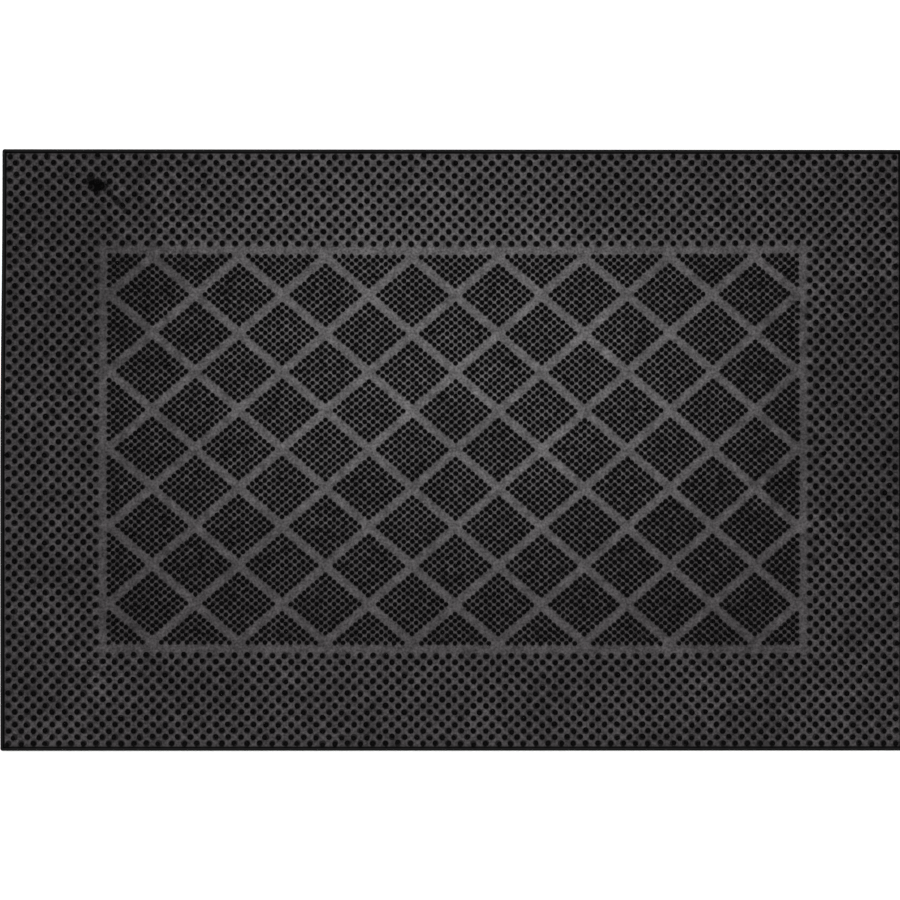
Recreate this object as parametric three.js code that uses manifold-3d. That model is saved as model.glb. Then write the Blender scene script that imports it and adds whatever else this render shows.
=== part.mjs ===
// A moulded rubber pin mat for a doorway, 600 x 400 x 7 mm, in millimetres with +Z up.
//
// The mat is one rubber moulding. This model splits it where the mould changes from one region to
// the next: a backing sheet, a bead round the edge, four beds of coarse pins that make the border,
// and rows of diamonds of fine pins that fill the middle, with smooth bars between the diamonds.
// Nearly ten thousand pins stand on the real mat. Each bed is modelled here as the block of space
// that its pins fill, on the skin of rubber that they are moulded with.
//
// The origin is the centre of the underside. X runs along the mat and Y across it.

import * as THREE from "three";
import { mergeVertices } from "three/addons/utils/BufferGeometryUtils.js";
import Module from "manifold-3d";

const wasm = await Module();
wasm.setup();

// The whole mat
const MAT_LENGTH = 600;
const MAT_WIDTH = 400;
const CORNER_RADIUS = 1.5;

// Thicknesses, from the floor up
const BACKING = 1.5;
const SKIN = 0.5;
const PIN_HEIGHT = 5;

// The bead round the edge
const RIM_WIDTH = 2.4;
const RIM_RISE = 3;
const RIM_ROUNDING = 1;

// The border: coarse pins on a square lattice turned by 45 degrees
const COARSE_PIN = 3.8;
const COARSE_STEP = 4.15;
const COARSE_ROWS = 15;
const COARSE_CLEAR_OF_RIM = 0.5;

// The plain band between the border and the middle, from pin centre to pin centre
const BAND = 8.5;

// The middle: diamonds of fine pins. A half cell is the distance from one diamond's centre to the
// next row's, and a crossing is where two smooth bars meet, measured between the nearest pins.
const FINE_PIN = 2.6;
const HALF_CELLS_LONG = 16;
const HALF_CELLS_ACROSS = 10;
const CROSSING = 12.3;

// Regions keep this gap to each other, so that each one is a solid of its own.
const SEAM = 0.3;

const SHEET_TOP = BACKING + SKIN;
const ARC_POINTS = 6;

// How many lattice steps fit from the centre line to the last coarse pin along one half side
function coarseSteps(halfSide) {
  const reach = halfSide - RIM_WIDTH - COARSE_CLEAR_OF_RIM - COARSE_PIN / 2;
  return Math.floor(reach / COARSE_STEP);
}

// For one direction: where the rim, the border and the middle start and end, from the centre
function regionsAlong(side, halfCells) {
  const half = side / 2;
  const lastCoarse = coarseSteps(half) * COARSE_STEP;
  const firstCoarse = lastCoarse - (COARSE_ROWS - 1) * COARSE_STEP;
  const lastFine = firstCoarse - BAND;
  const cell = (2 * lastFine) / halfCells;
  return {
    half,
    rimInside: half - RIM_WIDTH,
    bedOutside: lastCoarse + COARSE_PIN / 2,
    bedInside: firstCoarse - COARSE_PIN / 2,
    fieldOutside: lastFine + FINE_PIN / 2,
    cell,
    tip: cell - CROSSING / 2,
  };
}

const ALONG = regionsAlong(MAT_LENGTH, HALF_CELLS_LONG);
const ACROSS = regionsAlong(MAT_WIDTH, HALF_CELLS_ACROSS);

const blackRubber = { color: 0x151314, roughness: 0.55, metalness: 0 };
const greyRubber = { color: 0x4c4a4b, roughness: 0.85, metalness: 0 };

// --- Shapes ---

function rectangle(x0, y0, x1, y1) {
  const shape = new THREE.Shape();
  shape.moveTo(x0, y0);
  shape.lineTo(x1, y0);
  shape.lineTo(x1, y1);
  shape.lineTo(x0, y1);
  return shape;
}

// The mat's outline, with its four small round corners
function matOutline() {
  const shape = new THREE.Shape();
  const x = ALONG.half - CORNER_RADIUS;
  const y = ACROSS.half - CORNER_RADIUS;
  const quarter = Math.PI / 2;
  const centres = [[x, y], [-x, y], [-x, -y], [x, -y]];
  centres.forEach(([cx, cy], i) => {
    shape.absarc(cx, cy, CORNER_RADIUS, i * quarter, (i + 1) * quarter, false);
  });
  return shape;
}

// A diamond of fine pins seen from above: its long edges clear the outer pins by a pin's radius,
// and its four tips are cut square just past the tip pins.
function diamondOutline() {
  const a = ALONG.tip;
  const b = ACROSS.tip;
  const r = FINE_PIN / 2;
  const edge = Math.hypot(a, b);
  const farX = a + (r * edge) / b;
  const farY = b + (r * edge) / a;
  const tipY = farY * (1 - (a + r) / farX);
  const tipX = farX * (1 - (b + r) / farY);
  const right = [[a + r, -tipY], [a + r, tipY]];
  const top = [[tipX, b + r], [-tipX, b + r]];
  const left = right.map(([x, y]) => [-x, -y]);
  const bottom = top.map(([x, y]) => [-x, -y]);
  const points = [...right, ...top, ...left, ...bottom];
  return new THREE.Shape(points.map(([x, y]) => new THREE.Vector2(x, y)));
}

// The bead's section: a flat foot and a rounded top, with x across the bead and y up
function rimSection() {
  const shape = new THREE.Shape();
  const rise = SKIN + RIM_RISE;
  const radius = Math.min(RIM_ROUNDING, RIM_WIDTH / 2);
  const shoulder = rise - radius;
  const reach = RIM_WIDTH / 2 - radius;
  shape.moveTo(-RIM_WIDTH / 2, 0);
  shape.lineTo(RIM_WIDTH / 2, 0);
  shape.lineTo(RIM_WIDTH / 2, shoulder);
  shape.absarc(reach, shoulder, radius, 0, Math.PI / 2, false);
  shape.absarc(-reach, shoulder, radius, Math.PI / 2, Math.PI, false);
  return shape;
}

// --- Solids ---

function raised(shape, z0, z1) {
  const options = { depth: z1 - z0, bevelEnabled: false, curveSegments: ARC_POINTS };
  return new THREE.ExtrudeGeometry(shape, options).translate(0, 0, z0);
}

function toSolid(geometry) {
  const bare = geometry.clone();
  bare.deleteAttribute("normal");
  bare.deleteAttribute("uv");
  const merged = mergeVertices(bare);
  const vertProperties = new Float32Array(merged.attributes.position.array);
  const triVerts = new Uint32Array(merged.index.array);
  return new wasm.Manifold(new wasm.Mesh({ numProp: 3, vertProperties, triVerts }));
}

function toGeometry(solid) {
  const mesh = solid.getMesh();
  const geometry = new THREE.BufferGeometry();
  geometry.setAttribute("position", new THREE.BufferAttribute(mesh.vertProperties, 3));
  geometry.setIndex(new THREE.BufferAttribute(mesh.triVerts, 1));
  geometry.computeVertexNormals();
  return geometry;
}

function piece(name, geometry, finish) {
  const mesh = new THREE.Mesh(geometry, new THREE.MeshStandardMaterial(finish));
  mesh.name = name;
  return mesh;
}

// --- The regions of the moulding ---

function backingSheet() {
  return piece("backing_sheet", raised(matOutline(), 0, BACKING), greyRubber);
}

// One side of the bead. The front and back run the whole length and take the round corners, and
// the left and right fit between them.
function rimSide(name, length, turn, x, y) {
  const options = { depth: length, bevelEnabled: false, curveSegments: ARC_POINTS };
  const bar = new THREE.ExtrudeGeometry(rimSection(), options);
  bar.translate(0, 0, -length / 2);
  bar.rotateX(Math.PI / 2);
  bar.rotateZ(turn);
  bar.translate(x, y, BACKING);
  const corners = raised(matOutline(), BACKING, SHEET_TOP + RIM_RISE);
  return piece(name, toGeometry(toSolid(bar).intersect(toSolid(corners))), blackRubber);
}

function rim() {
  const group = new THREE.Group();
  const x = ALONG.half - RIM_WIDTH / 2;
  const y = ACROSS.half - RIM_WIDTH / 2;
  const between = 2 * (ACROSS.rimInside - SEAM);
  group.add(rimSide("rim_front", MAT_LENGTH, Math.PI / 2, 0, -y));
  group.add(rimSide("rim_back", MAT_LENGTH, Math.PI / 2, 0, y));
  group.add(rimSide("rim_left", between, 0, -x, 0));
  group.add(rimSide("rim_right", between, 0, x, 0));
  return group;
}

// One bed of coarse pins: the skin reaches from the rim to the edge of the middle, and the block
// of pins stands on it.
function borderBed(name, skin, pins) {
  const sheet = toSolid(raised(rectangle(...skin), BACKING, SHEET_TOP));
  const block = toSolid(raised(rectangle(...pins), BACKING, SHEET_TOP + PIN_HEIGHT));
  return piece(name, toGeometry(sheet.add(block)), blackRubber);
}

// The front and back beds run the whole length, and the left and right beds fit between them.
function border() {
  const group = new THREE.Group();
  const rimX = ALONG.rimInside - SEAM;
  const rimY = ACROSS.rimInside - SEAM;
  const { bedOutside: outX, bedInside: inX } = ALONG;
  const { bedOutside: outY, bedInside: inY } = ACROSS;
  const sideY = inY - SEAM;
  group.add(borderBed("border_pins_front", [-rimX, -rimY, rimX, -inY], [-outX, -outY, outX, -inY]));
  group.add(borderBed("border_pins_back", [-rimX, inY, rimX, rimY], [-outX, inY, outX, outY]));
  group.add(borderBed("border_pins_left", [-rimX, -sideY, -inX, sideY], [-outX, -sideY, -inX, sideY]));
  group.add(borderBed("border_pins_right", [inX, -sideY, rimX, sideY], [inX, -sideY, outX, sideY]));
  return group;
}

// The strip of skin that carries one row of diamonds. The first and last strips also carry the
// plain band next to the border.
function rowSkin(row, centreY) {
  const endX = ALONG.bedInside - SEAM;
  const endY = ACROSS.bedInside - SEAM;
  const reach = (ACROSS.cell - SEAM) / 2;
  const low = row === HALF_CELLS_ACROSS ? -endY : centreY - reach;
  const high = row === 0 ? endY : centreY + reach;
  return toSolid(raised(rectangle(-endX, low, endX, high), BACKING, SHEET_TOP));
}

// One row of diamonds on its strip of skin. Rows are counted from the back, and every second row is
// shifted by half a cell, so the diamonds at the edges of the middle are cut in half.
function diamondRow(row) {
  const centreY = (HALF_CELLS_ACROSS / 2 - row) * ACROSS.cell;
  const top = SHEET_TOP + PIN_HEIGHT;
  const x = ALONG.fieldOutside;
  const y = ACROSS.fieldOutside;
  const field = toSolid(raised(rectangle(-x, -y, x, y), SHEET_TOP, top));
  const diamond = raised(diamondOutline(), SHEET_TOP, top);
  let solid = rowSkin(row, centreY);
  for (let column = row % 2; column <= HALF_CELLS_LONG; column += 2) {
    const centreX = (column - HALF_CELLS_LONG / 2) * ALONG.cell;
    const block = toSolid(diamond.clone().translate(centreX, centreY, 0));
    solid = solid.add(block.intersect(field));
  }
  const number = String(row + 1).padStart(2, "0");
  return piece("diamond_row_" + number, toGeometry(solid), blackRubber);
}

function middle() {
  const group = new THREE.Group();
  for (let row = 0; row <= HALF_CELLS_ACROSS; row++) {
    group.add(diamondRow(row));
  }
  return group;
}

const mat = new THREE.Group();
mat.add(backingSheet());
mat.add(rim());
mat.add(border());
mat.add(middle());

export default mat;
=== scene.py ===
import bpy
import numpy as np
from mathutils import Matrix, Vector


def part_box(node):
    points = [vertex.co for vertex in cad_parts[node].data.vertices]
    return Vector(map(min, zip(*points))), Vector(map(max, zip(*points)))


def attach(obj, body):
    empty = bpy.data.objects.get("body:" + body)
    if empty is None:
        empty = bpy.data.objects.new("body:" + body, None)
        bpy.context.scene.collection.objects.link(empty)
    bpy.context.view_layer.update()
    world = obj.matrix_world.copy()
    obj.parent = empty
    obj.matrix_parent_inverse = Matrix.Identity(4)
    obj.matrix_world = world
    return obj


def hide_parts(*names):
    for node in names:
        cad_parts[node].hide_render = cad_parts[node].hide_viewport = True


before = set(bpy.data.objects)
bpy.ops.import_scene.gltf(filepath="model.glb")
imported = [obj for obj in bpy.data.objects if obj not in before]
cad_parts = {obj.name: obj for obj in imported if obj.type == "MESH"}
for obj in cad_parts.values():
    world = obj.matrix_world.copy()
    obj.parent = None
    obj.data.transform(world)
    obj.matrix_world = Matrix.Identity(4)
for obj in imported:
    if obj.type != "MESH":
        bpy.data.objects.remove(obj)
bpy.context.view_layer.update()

# ---------------------------------------------------------------------------------------------
# The viewpoint. The mat lies on the floor and is seen from high above, almost straight down, with
# the long lens of a catalogue stand, so that its four sides stay parallel.
mm = 0.001
camera_data = bpy.data.cameras.new("overhead_camera")
camera_data.sensor_width = 36.0
camera_data.lens = 150.18
camera_data.clip_start = 0.05
camera_data.clip_end = 60.0
camera = bpy.data.objects.new("overhead_camera", camera_data)
camera.location = (-20 * mm, -56 * mm, 2500 * mm)
camera.rotation_euler = np.radians((1.278, -0.417, 0.0))
bpy.context.scene.collection.objects.link(camera)
bpy.context.scene.camera = camera

# ---------------------------------------------------------------------------------------------
# The studio. A glowing white floor that turns up into low walls far off, a broad soft light in the
# ceiling, a nearer one a little behind the mat, and a white room that fills the shadows.
bpy.context.scene.view_settings.view_transform = "Standard"
floor_reach = 30.0
wall_height = 4.5


def soft_light(name, kind, place, power, **sizes):
    """A lamp that shines on the middle of the mat and isn't seen itself."""
    data = bpy.data.lights.new(name, kind)
    data.energy = power
    for size, value in sizes.items():
        setattr(data, size, value)
    lamp = bpy.data.objects.new(name, data)
    lamp.location = place
    aim = lamp.location.copy()
    aim.negate()
    lamp.rotation_euler = aim.to_track_quat("-Z", "Y").to_euler()
    lamp.visible_camera = False
    bpy.context.scene.collection.objects.link(lamp)


soft_light("ceiling_light", "SUN", (0.0, 0.5, 4.0), 1.35, angle=np.radians(18.0))
soft_light("near_light", "AREA", (0.0, 0.2, 1.1), 4.0, shape="DISK", size=0.5)

room = bpy.data.worlds.new("white_room")
room.use_nodes = True
room_light = room.node_tree.nodes["Background"]
room_light.inputs["Color"].default_value = (1.0, 1.0, 1.0, 1.0)
room_light.inputs["Strength"].default_value = 0.4
bpy.context.scene.world = room

floor_mesh = bpy.data.meshes.new("studio_floor")
floor_corners = [(-1, -1), (1, -1), (1, 1), (-1, 1)]
floor_points = [
    (x * floor_reach, y * floor_reach, z) for z in (0.0, wall_height) for x, y in floor_corners
]
floor_faces = [(0, 1, 2, 3), (0, 1, 5, 4), (1, 2, 6, 5), (2, 3, 7, 6), (3, 0, 4, 7)]
floor_mesh.from_pydata(floor_points, [], floor_faces)
floor_paint = bpy.data.materials.new("matt_white_floor")
floor_paint.use_nodes = True
floor_shader = floor_paint.node_tree.nodes["Principled BSDF"]
floor_shader.inputs["Base Color"].default_value = (0.95, 0.95, 0.95, 1.0)
floor_shader.inputs["Roughness"].default_value = 0.9
floor_shader.inputs["Specular IOR Level"].default_value = 0.1
floor_shader.inputs["Emission Color"].default_value = (1.0, 1.0, 1.0, 1.0)
floor_shader.inputs["Emission Strength"].default_value = 0.4
floor_mesh.materials.append(floor_paint)
floor = bpy.data.objects.new("studio_floor", floor_mesh)
floor.location.z = -0.02 * mm
bpy.context.scene.collection.objects.link(floor)

# ---------------------------------------------------------------------------------------------
# The sheet. A flat web of black rubber, pressed in a steel mould, that carries everything else.
# Its top is dull and greyed by bloom, with a painted pool of light that makes it palest in the middle,
# and it is clouded and smudged.
mat_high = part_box("backing_sheet")[1]
rim_low, rim_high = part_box("rim_front")
rim_width = rim_high.y - rim_low.y
skin = 0.5 * mm
sheet_top = mat_high.z + skin
sheet_step = 2.5 * mm
sheet_unevenness = 0.05 * mm
tucked = 0.5 * mm

# The rubber shrank unevenly as it cooled. Each pull has its middle, its reach along and across the
# mat and how far it draws, all in millimetres.
pulls = [
    ((10, 0), (180, 180), (2.5, -0.9)),
    ((-190, 0), (140, 140), (-1.7, 1.3)),
    ((190, 100), (120, 120), (0.5, 1.3)),
    ((300, 40), (35, 220), (-0.9, 0)),
    ((300, 90), (45, 110), (0, 1.2)),
    ((-285, 145), (50, 80), (0, 0.6)),
    ((-300, 150), (4, 60), (0.5, 0)),
]

# The painted pool of light on the bloom is brightest round one place and darkens over this reach, faster
# across the mat than along it. Its patches and specks have their sizes, and how much they change the
# tone.
light_pool_middle = (10 * mm, 50 * mm)
light_pool_reach = 340 * mm
light_pool_squeeze = 1.6
light_pool_wander = 40 * mm
# The bloom's tone in the middle of the painted pool of light, and its tone out beyond the pool.
bloom_in_painted_light = (0.1246, 0.1204, 0.1226)
bloom_beyond_painted_light = (0.0658, 0.0612, 0.0635)
cloud_size, cloud_depth = 45 * mm, 0.19
smudge_size, smudge_depth = 7 * mm, 0.26
speck_size, speck_depth = 1.6 * mm, 0.48

# Where the bloom was wiped off down to the bare rubber, and broad, weak patches of painted shade that
# darken the sheet towards the same black: middle and reach in millimetres, and strength. A streak runs on
# from the first and strongest of those places.
bare_rubber_and_shade_black = (0.0015, 0.0014, 0.0014)
wiped_and_shaded_places = [
    ((-237.5, 175.5), 7.5, 1.0),
    ((-241.0, 181.0), 4.0, 0.9),
    ((237.0, 88.0), 3.0, 0.8),
    # From here on the places are broad, weak patches of painted shade, not wiping.
    ((-246.0, 92.0), 34.0, 0.25),
    ((-275.0, 130.0), 120.0, 0.2),
    ((295.0, 20.0), 110.0, 0.22),
    ((130.0, 205.0), 90.0, 0.12),
    ((-236.0, 130.0), 36.0, 0.25),
    ((-330.0, -10.0), 175.0, 0.09),
    ((0.0, 3.0), 42.0, 0.13),
]
for streak_x, streak_y in zip(np.linspace(-228, -218, 5), np.linspace(171, 158.5, 5)):
    wiped_and_shaded_places.append(((streak_x, streak_y), 2.8, 0.8))


def drawn_aside(points):
    """The points, moved in the plane as the shrinking drew them. The long edges stayed straight."""
    moved = np.array(points, float)
    held = 1 - np.clip(np.abs(moved[:, 1]) / mat_high.y, 0, 1) ** 4
    shift = np.zeros((len(moved), 2))
    for middle, reach, draw in pulls:
        away = np.hypot(*((np.array(points)[:, :2] / mm - middle) / reach).T)
        shift += np.exp(-0.5 * away**2)[:, None] * np.array(draw) * mm
    moved[:, 0] += shift[:, 0]
    moved[:, 1] += shift[:, 1] * held
    return moved


def unevenness(x, y, reach, seed):
    """A slow, smooth rise and fall over the mat, between about -reach and reach."""
    waves, shortest, longest = 5, 0.16, 0.5
    draws = np.random.default_rng(seed)
    total = np.zeros(np.shape(x))
    for _ in range(waves):
        length = draws.uniform(shortest, longest)
        heading = draws.uniform(0, 2 * np.pi)
        start = draws.uniform(0, 2 * np.pi)
        along = np.cos(heading) * x + np.sin(heading) * y
        total += np.sin(2 * np.pi * along / length + start)
    return reach * total / waves


def rubber_piece(name, points, loops, sizes, places, finishes, which):
    """A mesh piece from its corners, with a place on the finish's map for each, that rides on the mat."""
    mesh = bpy.data.meshes.new(name)
    mesh.vertices.add(len(points))
    mesh.vertices.foreach_set("co", np.asarray(points, np.float32).ravel())
    mesh.loops.add(len(loops))
    mesh.loops.foreach_set("vertex_index", np.asarray(loops, np.int32))
    mesh.polygons.add(len(sizes))
    starts = np.concatenate([[0], np.cumsum(sizes)[:-1]])
    mesh.polygons.foreach_set("loop_start", starts.astype(np.int32))
    mesh.polygons.foreach_set("loop_total", np.asarray(sizes, np.int32))
    for finish in finishes:
        mesh.materials.append(finish)
    mesh.polygons.foreach_set("material_index", np.asarray(which, np.int32))
    mesh.polygons.foreach_set("use_smooth", np.ones(len(sizes), bool))
    mesh.uv_layers.new(name="OFBake").data.foreach_set("uv", np.asarray(places, np.float32).ravel())
    mesh.update(calc_edges=True)
    made = bpy.data.objects.new(name, mesh)
    bpy.context.scene.collection.objects.link(made)
    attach(made, "root")
    return made


def rubber(name, roughness, shine):
    """A rubber finish with nothing on it yet: the finish, its shader and the place on the mat."""
    finish = bpy.data.materials.new(name)
    finish.use_nodes = True
    shader = finish.node_tree.nodes["Principled BSDF"]
    shader.inputs["Roughness"].default_value = roughness
    shader.inputs["Specular IOR Level"].default_value = shine
    place = finish.node_tree.nodes.new("ShaderNodeTexCoord").outputs["Object"]
    return finish, shader, place


def noise(finish, place, size, detail=2.0, roughness=0.5):
    """A cloudy pattern whose patches are about this size."""
    node = finish.node_tree.nodes.new("ShaderNodeTexNoise")
    node.inputs["Scale"].default_value = 1.0 / size
    node.inputs["Detail"].default_value = detail
    node.inputs["Roughness"].default_value = roughness
    finish.node_tree.links.new(place, node.inputs["Vector"])
    return node.outputs["Fac"]


def spread(finish, value, low, high, to_low, to_high, smooth=False):
    """The value, stretched from one range to another and held at its ends."""
    node = finish.node_tree.nodes.new("ShaderNodeMapRange")
    if smooth:
        node.interpolation_type = "SMOOTHSTEP"
    ends = {"From Min": low, "From Max": high, "To Min": to_low, "To Max": to_high}
    for end, number in ends.items():
        node.inputs[end].default_value = number
    finish.node_tree.links.new(value, node.inputs["Value"])
    return node.outputs["Result"]


def by_pattern(finish, pattern, to_low, to_high):
    """A value that follows a cloudy pattern, which itself stays mostly between 0.3 and 0.7."""
    return spread(finish, pattern, 0.3, 0.7, to_low, to_high)


def combined(finish, operation, a, b):
    """A sum, product or the like of two values."""
    node = finish.node_tree.nodes.new("ShaderNodeMath")
    node.operation = operation
    finish.node_tree.links.new(a, node.inputs[0])
    finish.node_tree.links.new(b, node.inputs[1])
    return node.outputs[0]


def away_from(finish, place, middle):
    """How far a place on the mat is from this point."""
    node = finish.node_tree.nodes.new("ShaderNodeVectorMath")
    node.operation = "DISTANCE"
    finish.node_tree.links.new(place, node.inputs[0])
    node.inputs[1].default_value = middle
    return node.outputs["Value"]


def blended(finish, share, first, second):
    """A colour between two, each a colour or what another node makes."""
    node = finish.node_tree.nodes.new("ShaderNodeMix")
    node.data_type = "RGBA"
    finish.node_tree.links.new(share, node.inputs[0])
    for socket, colour in ((node.inputs[6], first), (node.inputs[7], second)):
        if isinstance(colour, tuple):
            socket.default_value = (*colour, 1.0)
        else:
            finish.node_tree.links.new(colour, socket)
    return node.outputs[2]


def raise_by(finish, shader, height, distance):
    """Raises and sinks the surface's shading by a pattern of this real depth."""
    node = finish.node_tree.nodes.new("ShaderNodeBump")
    node.inputs["Distance"].default_value = distance
    finish.node_tree.links.new(height, node.inputs["Height"])
    finish.node_tree.links.new(node.outputs["Normal"], shader.inputs["Normal"])


def scaled(finish, colour, value):
    """A colour or place, multiplied by a value, or in each direction by a number of its own."""
    node = finish.node_tree.nodes.new("ShaderNodeVectorMath")
    finish.node_tree.links.new(colour, node.inputs[0])
    if isinstance(value, tuple):
        node.operation = "MULTIPLY"
        node.inputs[1].default_value = value
    else:
        node.operation = "SCALE"
        finish.node_tree.links.new(value, node.inputs["Scale"])
    return node.outputs["Vector"]


def bloom_and_painted_light_tone(finish, place):
    """The grey of the bloom with a painted pool of light that is palest near the middle; cloudy, smudged,
    wiped off in places and darkened in broad patches by painted shade.
    """
    clouds = noise(finish, place, cloud_size, 3.0)
    smudges = noise(finish, place, smudge_size, 3.0, 0.6)
    specks = noise(finish, place, speck_size, 2.0, 0.6)
    squeezed = scaled(finish, place, (1.0, light_pool_squeeze, 1.0))
    far = away_from(finish, squeezed, (light_pool_middle[0], light_pool_middle[1] * light_pool_squeeze, 0.0))
    wander = by_pattern(finish, clouds, -light_pool_wander, light_pool_wander)
    far = combined(finish, "ADD", far, wander)
    # Painted light: a pool of light painted into the tone, palest round its middle and darker out over
    # its reach.
    beyond_painted_light = spread(finish, far, 0.0, light_pool_reach, 0, 1, smooth=True)
    tone = blended(finish, beyond_painted_light, bloom_in_painted_light, bloom_beyond_painted_light)
    for pattern, depth in ((clouds, cloud_depth), (smudges, smudge_depth), (specks, speck_depth)):
        tone = scaled(finish, tone, by_pattern(finish, pattern, 1 - depth, 1 + depth))
    ragged = spread(finish, smudges, 0.35, 0.65, 0.7, 1.3)
    wiped_and_shaded_share = None
    # Stains where the bloom was wiped off, and broad patches of painted shade, darken the tone towards
    # black.
    for (x, y), reach, strength in wiped_and_shaded_places:
        off = away_from(finish, place, (x * mm, y * mm, sheet_top))
        off = combined(finish, "MULTIPLY", off, ragged)
        wipe_and_shade = spread(finish, off, 0.6 * reach * mm, reach * mm, strength, 0, smooth=True)
        wiped_and_shaded_share = combined(finish, "MAXIMUM", wiped_and_shaded_share, wipe_and_shade) if wiped_and_shaded_share else wipe_and_shade
    tone = blended(finish, wiped_and_shaded_share, tone, bare_rubber_and_shade_black)
    return tone, smudges, specks


web_finish, web_shader, web_place = rubber("bloomed_grey_rubber_painted_light", 0.85, 0.03)
web_tone, smudges, specks = bloom_and_painted_light_tone(web_finish, web_place)
web_links = web_finish.node_tree.links
web_links.new(web_tone, web_shader.inputs["Base Color"])
web_links.new(by_pattern(web_finish, smudges, 0.92, 0.78), web_shader.inputs["Roughness"])
raise_by(web_finish, web_shader, combined(web_finish, "ADD", smudges, specks), 0.15 * mm)

# The underside took the print of the cloth that lined the mould: a fine, square weave.
weave_pitch = 1.4 * mm
weave_depth = 0.3 * mm
waves_in_scale = 0.314
under_finish, under_shader, under_place = rubber("cloth_printed_rubber", 0.8, 0.2)
prints = []
for direction in ("X", "Y"):
    threads = under_finish.node_tree.nodes.new("ShaderNodeTexWave")
    threads.bands_direction = direction
    threads.inputs["Scale"].default_value = waves_in_scale / weave_pitch
    threads.inputs["Distortion"].default_value = 0.4
    under_finish.node_tree.links.new(under_place, threads.inputs["Vector"])
    prints.append(threads.outputs["Fac"])
weave = combined(under_finish, "MULTIPLY", prints[0], prints[1])
under_clouds = noise(under_finish, under_place, 40 * mm, 4.0)
under_thick = by_pattern(under_finish, under_clouds, 0, 1)
under_tone = blended(under_finish, under_thick, (0.02, 0.0195, 0.0197), (0.034, 0.033, 0.0335))
# Painted shade: the low places between the threads are darkened, as shade would fall in them.
painted_weave_shade = spread(under_finish, weave, 0, 1, 0.8, 0)
under_tone = blended(under_finish, painted_weave_shade, under_tone, (0.01, 0.0095, 0.0097))
under_finish.node_tree.links.new(under_tone, under_shader.inputs["Base Color"])
raise_by(under_finish, under_shader, weave, weave_depth)

# The sheet is a grid of squares, top and bottom, with a wall between them all round.
sheet_x = mat_high.x - rim_width + tucked
sheet_y = mat_high.y - rim_width + tucked
columns = round(2 * sheet_x / sheet_step)
rows = round(2 * sheet_y / sheet_step)
across, along = np.linspace(-1, 1, columns + 1), np.linspace(-1, 1, rows + 1)
grid_x, grid_y = [grid.ravel() for grid in np.meshgrid(across * sheet_x, along * sheet_y)]
at_edge = (np.abs(grid_x) > sheet_x - tucked) | (np.abs(grid_y) > sheet_y - tucked)
top_z = sheet_top + unevenness(grid_x, grid_y, sheet_unevenness, 3)
under_z = np.where(at_edge, tucked, 0.0)
flat_places = drawn_aside(np.stack([grid_x, grid_y], -1))
sheet_points = np.concatenate([np.column_stack([flat_places, z]) for z in (top_z, under_z)])
count = len(grid_x)
cells = np.arange(count).reshape(rows + 1, columns + 1)
quads = np.stack([cells[:-1, :-1], cells[:-1, 1:], cells[1:, 1:], cells[1:, :-1]], -1).reshape(-1, 4)
edge = np.concatenate([cells[0, :-1], cells[:-1, -1], cells[-1, :0:-1], cells[:0:-1, 0]])
after = np.roll(edge, -1)
walls = np.stack([edge + count, after + count, after, edge], -1)
sheet_faces = np.concatenate([quads, quads[:, ::-1] + count, walls])

# On the map the top takes four fifths, the underside most of the rest, and the walls a strip between.
top_from, under_to, wall_from, wall_to = 0.2, 0.18, 0.185, 0.195
share_x, share_y = grid_x / sheet_x / 2 + 0.5, grid_y / sheet_y / 2 + 0.5
top_map = np.column_stack([share_x, top_from + (1 - top_from) * share_y])[quads]
under_map = np.column_stack([share_x, under_to * share_y])[quads[:, ::-1]]
run = np.arange(len(edge)) / len(edge)
step = 1 / len(edge)
wall_corners = ((0, wall_from), (step, wall_from), (step, wall_to), (0, wall_to))
wall_map = np.stack([np.column_stack([run + on, np.full(len(edge), up)]) for on, up in wall_corners], 1)
sheet = rubber_piece(
    "rubber_sheet",
    sheet_points,
    sheet_faces.ravel(),
    np.full(len(sheet_faces), 4),
    np.concatenate([top_map, under_map, wall_map]).reshape(-1, 2),
    [web_finish, under_finish],
    np.repeat([0, 1, 1], [len(quads), len(quads), len(walls)]),
)
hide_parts("backing_sheet")

# ---------------------------------------------------------------------------------------------
# The bead. A rounded cord of solid rubber, moulded in one with the sheet, runs all round the edge.
# It keeps dirt on the mat and stops the thin edge from curling. It is smooth and nearly black.
rim_top = rim_high.z
corner_radius = 1.5 * mm
corner_steps = 6
bead_step = 4 * mm
bead_unevenness = 0.1 * mm
foot_round = 0.4 * mm
foot_corner = 0.12 * mm
fillet = 0.4 * mm
arc_steps = (25, 50, 75, 100, 125, 150)

bead_finish, bead_shader, bead_place = rubber("black_bead_rubber", 0.55, 0.06)
streaks = noise(bead_finish, bead_place, 14 * mm, 3.0)
dull = by_pattern(bead_finish, streaks, 0, 1)
bead_tone = blended(bead_finish, dull, (0.0044, 0.0043, 0.0044), (0.0082, 0.008, 0.0081))
bead_links = bead_finish.node_tree.links
bead_links.new(bead_tone, bead_shader.inputs["Base Color"])
bead_links.new(by_pattern(bead_finish, streaks, 0.5, 0.66), bead_shader.inputs["Roughness"])
raise_by(bead_finish, bead_shader, noise(bead_finish, bead_place, 1.2 * mm), 0.05 * mm)

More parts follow.
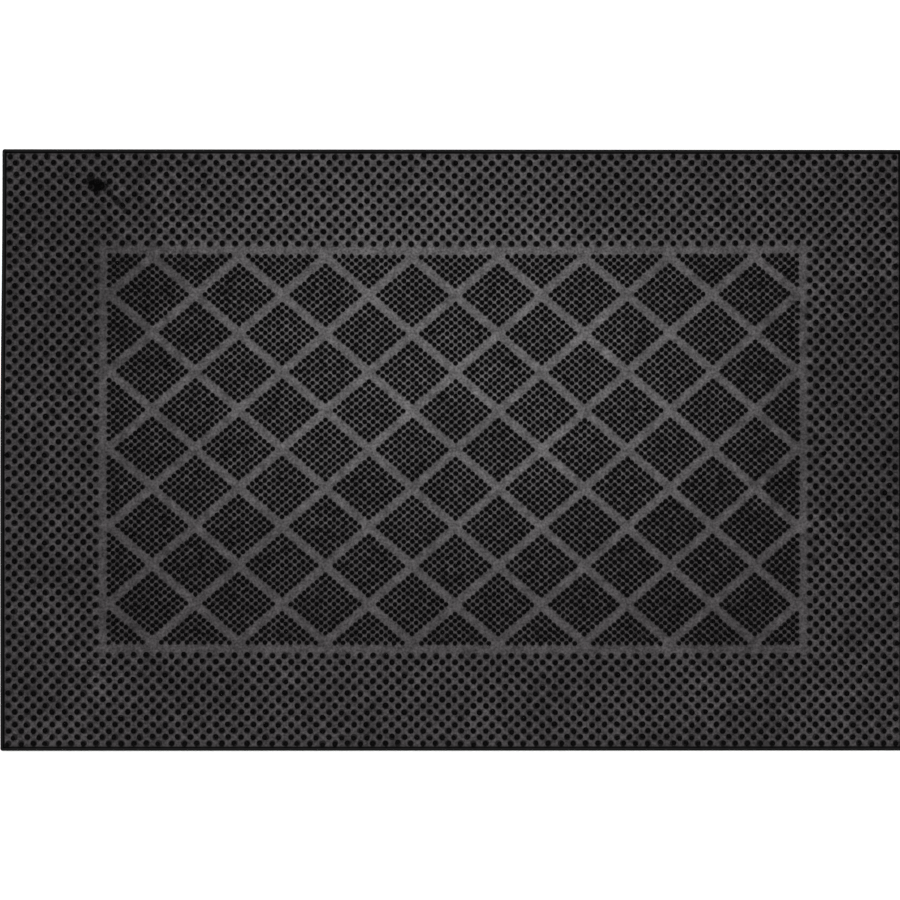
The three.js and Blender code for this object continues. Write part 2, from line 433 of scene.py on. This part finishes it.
# The bead's line round the mat, with the direction outwards at each point.
line, outwards = [], []
straight_x = mat_high.x - corner_radius
straight_y = mat_high.y - corner_radius
turnings = [(1, -1, -90), (1, 1, 0), (-1, 1, 90), (-1, -1, 180)]
for side, (side_x, side_y, start) in enumerate(turnings):
    centre = np.array([side_x * straight_x, side_y * straight_y])
    for angle in np.radians(np.linspace(start, start + 90, corner_steps + 1)):
        outwards.append(np.array([np.cos(angle), np.sin(angle)]))
        line.append(centre + corner_radius * outwards[-1])
    next_x, next_y, _ = turnings[(side + 1) % 4]
    begin = line[-1]
    end = np.array([next_x * straight_x, next_y * straight_y]) + corner_radius * outwards[-1]
    steps = round(np.linalg.norm(end - begin) / bead_step)
    for share in np.arange(1, steps) / steps:
        line.append(begin + share * (end - begin))
        outwards.append(outwards[-1])
line, outwards = np.array(line), np.array(outwards)

# Its section from the foot, up the outside, over the round top and down into the sheet: how far in
# from the edge, and how high.
half = rim_width / 2
section = [(foot_round, 0.0), (foot_corner, foot_corner), (0.0, foot_round), (0.0, rim_top - half)]
for angle in np.radians(arc_steps):
    section.append((half - half * np.cos(angle), rim_top - half + half * np.sin(angle)))
section += [(rim_width, rim_top - half), (rim_width + 0.08 * mm, sheet_top + 0.5 * mm)]
section += [(rim_width + fillet, sheet_top - 0.2 * mm), (rim_width, 0.0)]
section = np.array(section)
ring = len(line)
rise = 1 + unevenness(line[:, 0], line[:, 1], bead_unevenness / rim_top, 8)
bead_points = []
for inwards, height in section:
    place = drawn_aside(line - outwards * inwards)
    bead_points.append(np.column_stack([place, height * rise]))
bead_points = np.concatenate(bead_points)

# On the map the bead is cut across into strips that lie one above the other, a small gap apart.
strips = 16
strip_width = 0.94
strip_edge = (1 - strip_width) / 2
travelled = np.concatenate([[0], np.cumsum(np.linalg.norm(np.roll(line, -1, 0) - line, axis=1))])
travelled = travelled / travelled[-1] * strips
round_it = np.concatenate([[0], np.cumsum(np.linalg.norm(np.roll(section, -1, 0) - section, axis=1))])
round_it = round_it / round_it[-1]
bead_faces, bead_map = [], []
for lower in range(len(section)):
    upper = (lower + 1) % len(section)
    for here in range(ring):
        there = (here + 1) % ring
        bottom, top = lower * ring, upper * ring
        bead_faces.append((bottom + here, bottom + there, top + there, top + here))
        strip = min(int(travelled[here] + 1e-6), strips - 1)
        low, high = [
            (strip + strip_edge + strip_width * round_it[k]) / strips for k in (lower, lower + 1)
        ]
        left, right = travelled[here] - strip, travelled[here + 1] - strip
        left, right = [0.02 + strip_width * place for place in (left, right)]
        bead_map += [(left, low), (right, low), (right, high), (left, high)]
bead = rubber_piece(
    "edge_bead",
    bead_points,
    np.array(bead_faces).ravel(),
    np.full(len(bead_faces), 4),
    bead_map,
    [bead_finish],
    np.zeros(len(bead_faces)),
)
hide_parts("rim_front", "rim_back", "rim_left", "rim_right")

# ---------------------------------------------------------------------------------------------
# The border. Four beds of coarse pins stand on a square lattice turned by 45 degrees. Each pin is a
# soft tapered peg with a domed tip, moulded in one with the sheet, and none stands quite straight.
coarse_step = 4.15 * mm
coarse_rows = 15
coarse_size = 3.8 * mm
coarse_lean = 0.53 * mm
bed_seam = 0.3 * mm
bed_low, bed_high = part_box("border_pins_front")
pin_top = bed_high.z
pin_height = pin_top - sheet_top
pin_sides = 12
sunk = 0.15 * mm

# A pin is greyed round its foot like the sheet, bloom and painted light included, and dull on its shank;
# its tip is painted near-black, darker than the shank's rubber, as painted shade.
pin_finish, pin_shader, pin_place = rubber("black_pin_rubber", 0.6, 0.025)
pin_links = pin_finish.node_tree.links
patches = noise(pin_finish, pin_place, 9 * mm, 2.0)
dusty = by_pattern(pin_finish, patches, 0, 1)
foot_tone, _, foot_specks = bloom_and_painted_light_tone(pin_finish, pin_place)
split = pin_finish.node_tree.nodes.new("ShaderNodeSeparateXYZ")
pin_links.new(pin_place, split.inputs[0])
wavering = by_pattern(pin_finish, foot_specks, -0.15 * mm, 0.15 * mm)
up = combined(pin_finish, "ADD", split.outputs["Z"], wavering)
above_foot = spread(pin_finish, up, sheet_top, sheet_top + 0.75 * mm, 0, 1, smooth=True)
shaded_tip_share = spread(pin_finish, up, pin_top - 1.9 * mm, pin_top - 1.0 * mm, 0, 1, smooth=True)
shank_tone = blended(pin_finish, dusty, (0.019, 0.0174, 0.0182), (0.032, 0.0297, 0.0309))
# Painted shade: the tip's near-black is darker than the pin's rubber, which is the shank's tone.
painted_shade_tip_tone = blended(pin_finish, dusty, (0.0013, 0.0011, 0.0012), (0.0032, 0.0029, 0.003))
pin_tone = blended(pin_finish, above_foot, foot_tone, shank_tone)
pin_tone = blended(pin_finish, shaded_tip_share, pin_tone, painted_shade_tip_tone)
pin_links.new(pin_tone, pin_shader.inputs["Base Color"])
pin_links.new(by_pattern(pin_finish, patches, 0.52, 0.68), pin_shader.inputs["Roughness"])
raise_by(pin_finish, pin_shader, noise(pin_finish, pin_place, 0.5 * mm), 0.03 * mm)


def pin_profile(radius):
    """A pin's rings from foot to tip, as heights and radii: a spread foot, a taper and a dome."""
    tip, dome = radius * 0.83, radius * 0.6
    rings = [(-sunk, radius * 1.3), (0.14 * mm, radius * 1.15)]
    rings += [(0.65 * mm, radius * 0.98), (pin_height * 0.55, radius * 0.9)]
    for angle in np.radians([0, 38, 66]):
        rings.append((pin_height - dome + dome * np.sin(angle), tip * np.cos(angle)))
    return np.array(rings)


def bed_of_pins(name, feet, radius, lean, free, seed):
    """One piece with a pin at each foot. Every pin leans and stands a little differently."""
    draws = np.random.default_rng(seed)
    profile = pin_profile(radius)
    feet = np.array(feet)
    pins, rings, sides = len(feet), len(profile), pin_sides
    ground = drawn_aside(feet)
    # Most pins lean a little, and one in thirty was bent over further as it was pulled from the mould.
    bent_share, bent_over, most = 1 / 30, 1.7, 2.4 * lean
    bent = np.where(draws.random(pins) < bent_share, bent_over, 1.0)
    leans = draws.normal(0, lean, (pins, 2)) * bent[:, None]
    leans = np.clip(leans, -most, most)
    uneven_height, uneven_girth, uneven_round = 0.015, 0.03, 0.05
    tall = 1 - np.abs(draws.normal(0, uneven_height, pins))
    fat = 1 + draws.normal(0, uneven_girth, pins)
    oval = draws.normal(0, uneven_round, pins)
    turn = draws.uniform(0, 2 * np.pi, pins)
    around = np.arange(sides) * 2 * np.pi / sides + turn[:, None]
    circle = np.stack([np.cos(around), np.sin(around)], -1)
    circle *= (1 + oval[:, None] * np.cos(2 * np.arange(sides) * 2 * np.pi / sides))[:, :, None]
    # A leaning pin curves over, so it goes aside faster towards its tip.
    curve = 1.3
    share = np.clip(profile[:, 0] / pin_height, 0, 1) ** curve
    middles = ground[:, None, :] + leans[:, None, :] * share[None, :, None]
    spots = middles[:, :, None] + circle[:, None] * (fat[:, None] * profile[:, 1])[:, :, None, None]
    heights = np.where(profile[:, 0] > 0, profile[:, 0] * tall[:, None], profile[:, 0])
    each = rings * sides + 1
    points = np.empty((pins, each, 3))
    points[:, :-1, :2] = spots.reshape(pins, -1, 2)
    points[:, :-1, 2] = sheet_top + np.repeat(heights, sides, axis=1)
    points[:, -1, :2] = ground + leans
    points[:, -1, 2] = sheet_top + pin_height * tall
    # The faces of one pin: the cap under its foot, the bands between its rings and the fan at its tip.
    here = np.arange(sides)
    there = (here + 1) % sides
    below = sides * np.arange(rings - 1)[:, None]
    bands = np.stack([below + here, below + there, below + sides + there, below + sides + here], -1)
    fan = np.stack([below[-1] + sides + here, below[-1] + sides + there, np.full(sides, each - 1)], 1)
    loops = np.concatenate([here[::-1], bands.ravel(), fan.ravel()])
    sizes = np.concatenate([[sides], np.full(bands[..., 0].size, 4), np.full(sides, 3)])
    # On the map a pin is laid out flat round its tip, and the cap lies in the space beside it.
    laid_out, cap_size, cap_away = 0.92, 0.12, 1.5
    slopes = np.append(np.linalg.norm(np.diff(profile, axis=0), axis=1), profile[-1, 1])
    lengths = np.cumsum(slopes[::-1])[::-1]
    spans = np.append(np.repeat(lengths / lengths[0] * laid_out * free, sides), 0.0)
    headings = np.append(np.tile(around, rings), np.zeros((pins, 1)), axis=1)
    flat = feet[:, None] + spans[:, None] * np.stack([np.cos(headings), np.sin(headings)], -1)
    flat = flat[:, loops]
    cap = feet[:, None] + np.array([free * cap_away, 0]) + cap_size * free * circle[:, ::-1]
    flat[:, :sides] = cap
    flat = flat.reshape(-1, 2)
    flat = (flat - flat.min(0)) / np.ptp(flat, axis=0)
    return rubber_piece(
        name,
        points.reshape(-1, 3),
        (loops + each * np.arange(pins)[:, None]).ravel(),
        np.tile(sizes, pins),
        0.005 + 0.99 * flat,
        [pin_finish],
        np.zeros(pins * len(sizes)),
    )


# The outermost pins of the lattice stand half a pin and a seam inside the beds' solid.
last_x = round((bed_high.x - bed_seam - coarse_size / 2) / coarse_step)
last_y = round((-bed_low.y - bed_seam - coarse_size / 2) / coarse_step)
first_x = last_x - coarse_rows + 1
first_y = last_y - coarse_rows + 1
beds = {"front": [], "back": [], "left": [], "right": []}
for column in range(-last_x, last_x + 1):
    for row in range(-last_y, last_y + 1):
        if (column + row) % 2:
            continue
        foot = (column * coarse_step, row * coarse_step)
        if row <= -first_y:
            beds["front"].append(foot)
        elif row >= first_y:
            beds["back"].append(foot)
        elif column <= -first_x:
            beds["left"].append(foot)
        elif column >= first_x:
            beds["right"].append(foot)
coarse_free = coarse_step / np.sqrt(2)
for number, (side, feet) in enumerate(beds.items()):
    name, seed = "coarse_pins_" + side, 40 + number
    bed = bed_of_pins(name, feet, coarse_size / 2, coarse_lean, coarse_free, seed)
    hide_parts("border_pins_" + side)

# ---------------------------------------------------------------------------------------------
# The middle. Diamonds of fine pins, nine to a side, with smooth bars of the bare sheet between them.
# They are of the same rubber and moulded in one with the sheet, as the border's are. At the edges the
# pattern is cut, so those diamonds are halves and quarters.
fine_size = 2.95 * mm
fine_lean = 0.4 * mm
fine_steps = 8
half_cells_long = 16
half_cells_across = 10
plain_band = 8.5 * mm
crossing = 12.3 * mm
hair = 0.01 * mm
field_x = first_x * coarse_step - plain_band
field_y = first_y * coarse_step - plain_band
cell_x = 2 * field_x / half_cells_long
cell_y = 2 * field_y / half_cells_across
fine_x = (cell_x - crossing / 2) / fine_steps
fine_y = (cell_y - crossing / 2) / fine_steps
fine_free = np.hypot(fine_x, fine_y) / 2
for row in range(half_cells_across + 1):
    feet = []
    for column in range(row % 2, half_cells_long + 1, 2):
        centre_x = (column - half_cells_long / 2) * cell_x
        centre_y = (half_cells_across / 2 - row) * cell_y
        for u in range(-fine_steps, fine_steps + 1):
            for v in range(-fine_steps + abs(u), fine_steps - abs(u) + 1, 2):
                x, y = centre_x + u * fine_x, centre_y + v * fine_y
                if abs(x) <= field_x + hair and abs(y) <= field_y + hair:
                    feet.append((x, y))
    number = f"{row + 1:02d}"
    name, seed = "fine_pins_row_" + number, 60 + row
    pins = bed_of_pins(name, feet, fine_size / 2, fine_lean, fine_free, seed)
    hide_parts("diamond_row_" + number)
